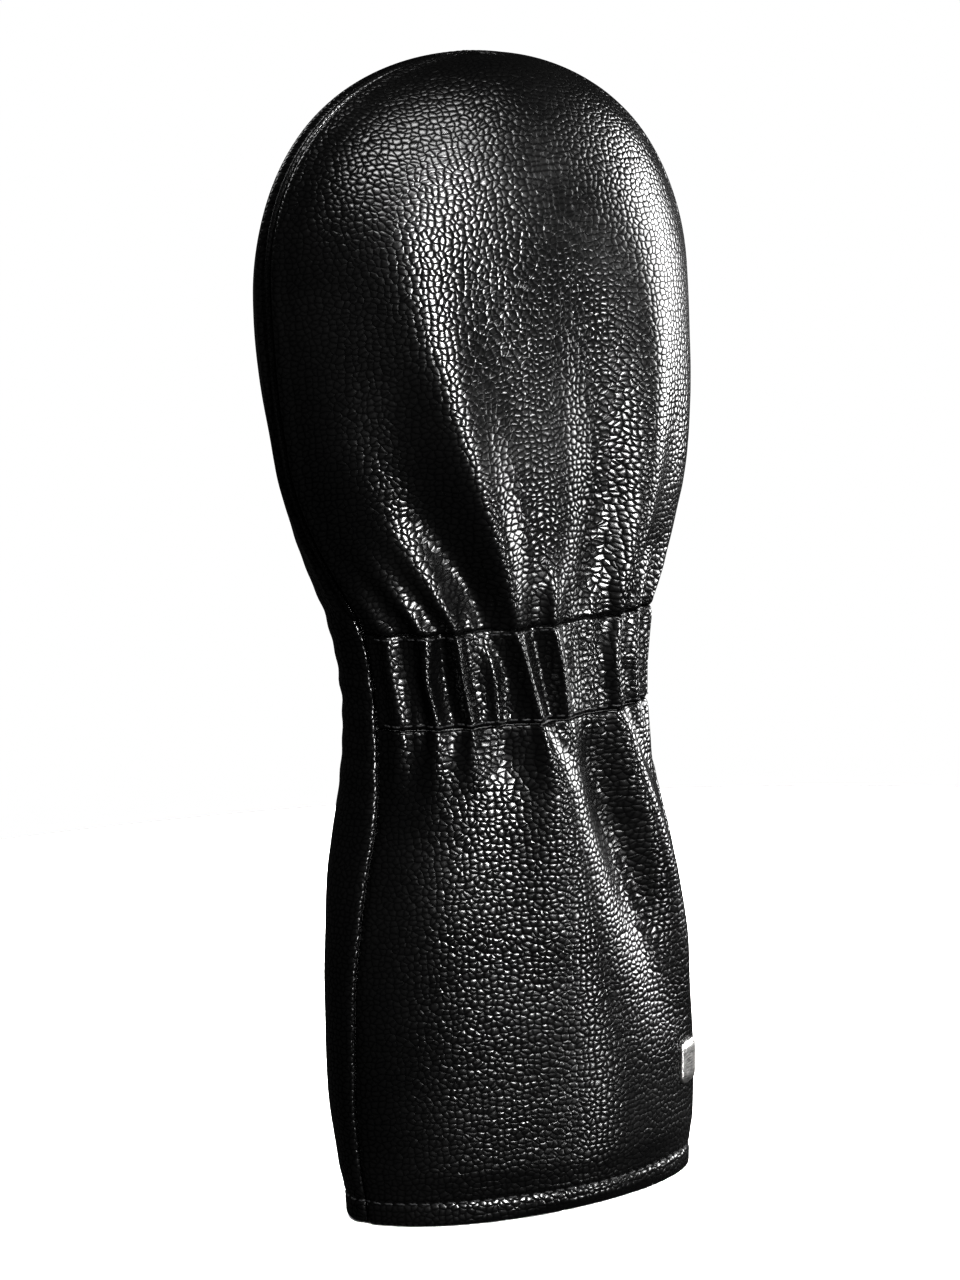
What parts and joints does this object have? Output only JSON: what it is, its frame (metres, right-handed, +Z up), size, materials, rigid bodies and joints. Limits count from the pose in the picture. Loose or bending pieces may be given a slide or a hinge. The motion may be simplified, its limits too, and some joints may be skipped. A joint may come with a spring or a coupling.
{
  "type": "driver head cover",
  "caption": "Padded black leather golf driver head cover with a piped crown seam, an elasticated stitched neck band and a flared skirt with a turned hem.",
  "frame": {"origin": "centre of the mouth, in the plane of the hem that the cover stands on", "axes": "+Z up from the hem to the crown, -Y the gathered side with the elastic, +Y the plain side, X across the width"},
  "size_m": [0.1368, 0.076, 0.34],
  "materials": {
    "grained_leather": "black pebble-grain leather, semi-gloss",
    "band_leather": "black grain leather, stretched smoother, semi-gloss",
    "smooth_leather": "black smooth leather, glossy",
    "cord": "cotton piping cord",
    "foam": "grey open-cell foam with a knitted back",
    "fleece": "black brushed fleece",
    "elastic": "black ribbed elastic webbing",
    "tape": "black woven cotton tape",
    "thread": "black bonded polyester thread",
    "badge_metal": "brushed, blank"
  },
  "bodies": {
    "cover": {"gathered_head_panel": "grained_leather", "gathered_skirt_panel": "grained_leather", "plain_panel": "grained_leather", "piping_cover": "smooth_leather", "piping_core": "cord", "head_padding_front": "foam", "head_padding_rear": "foam", "skirt_interlining_front": "foam", "skirt_interlining_rear": "foam", "head_lining_front": "fleece", "skirt_lining_front": "fleece", "lining_rear": "fleece", "seam_tape_left": "tape", "seam_tape_right": "tape", "hem_stitching": "thread", "badge_plate": "badge_metal", "badge_backing_plate": "badge_metal", "badge_rivets": "badge_metal"},
    "neck_band": {"neck_band_leather": "band_leather", "neck_elastic": "elastic", "neck_band_lining": "fleece", "upper_neck_stitching": "thread", "lower_neck_stitching": "thread"}
  },
  "joints": [
    {"name": "neck_stretch", "type": "slide", "parent": "cover", "child": "neck_band", "axis": [0, -1, 0], "range_m": [0, 0.028], "stiffness_N_per_m": 350}
  ]
}
